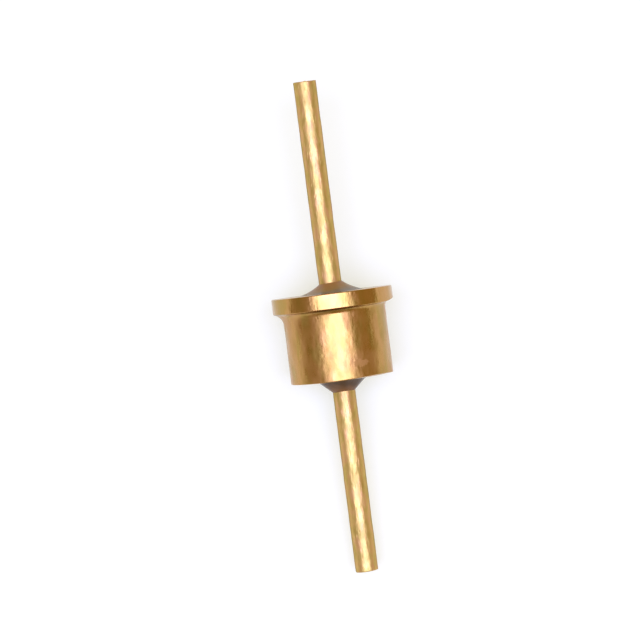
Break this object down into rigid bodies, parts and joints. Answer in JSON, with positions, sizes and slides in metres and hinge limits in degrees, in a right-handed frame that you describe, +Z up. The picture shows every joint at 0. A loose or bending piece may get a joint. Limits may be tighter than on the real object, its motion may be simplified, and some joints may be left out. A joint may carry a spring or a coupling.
{
  "type": "electromagnetic interference filter",
  "caption": "Gold-plated flanged can on a straight through-wire, sealed with glass and resin, that filters interference off a line through a metal wall.",
  "frame": {"origin": "centre of the bounding box on the surface that the filter lies on", "axes": "+X towards the wire's end beyond the flange, +Z up; the wire's axis lies in the XZ plane and rises towards +X by the rest angle"},
  "size_m": [0.0162, 0.004, 0.004],
  "materials": {
    "can_plating": "turned brass, satin gold plate",
    "wire_plating": "drawn wire, dull gold plate",
    "seal_glass": "fused smoky sealing glass",
    "ferrite": "sintered ferrite, tumbled",
    "film": "amber polyimide film",
    "capacitor_ceramic": "sintered barium titanate",
    "fired_silver": "fired silver paste",
    "solder": "reflowed solder",
    "potting_resin": "cured dark amber epoxy"
  },
  "bodies": {
    "root": {"case": "can_plating", "lead": "wire_plating", "glass_seal": "seal_glass", "ferrite_bead": "ferrite", "spacer_washer": "film", "capacitor_body": "capacitor_ceramic", "capacitor_rim_band": "fired_silver", "capacitor_bore_band": "fired_silver", "rim_solder": "solder", "lead_solder": "solder", "resin_fill": "potting_resin"}
  },
  "joints": []
}
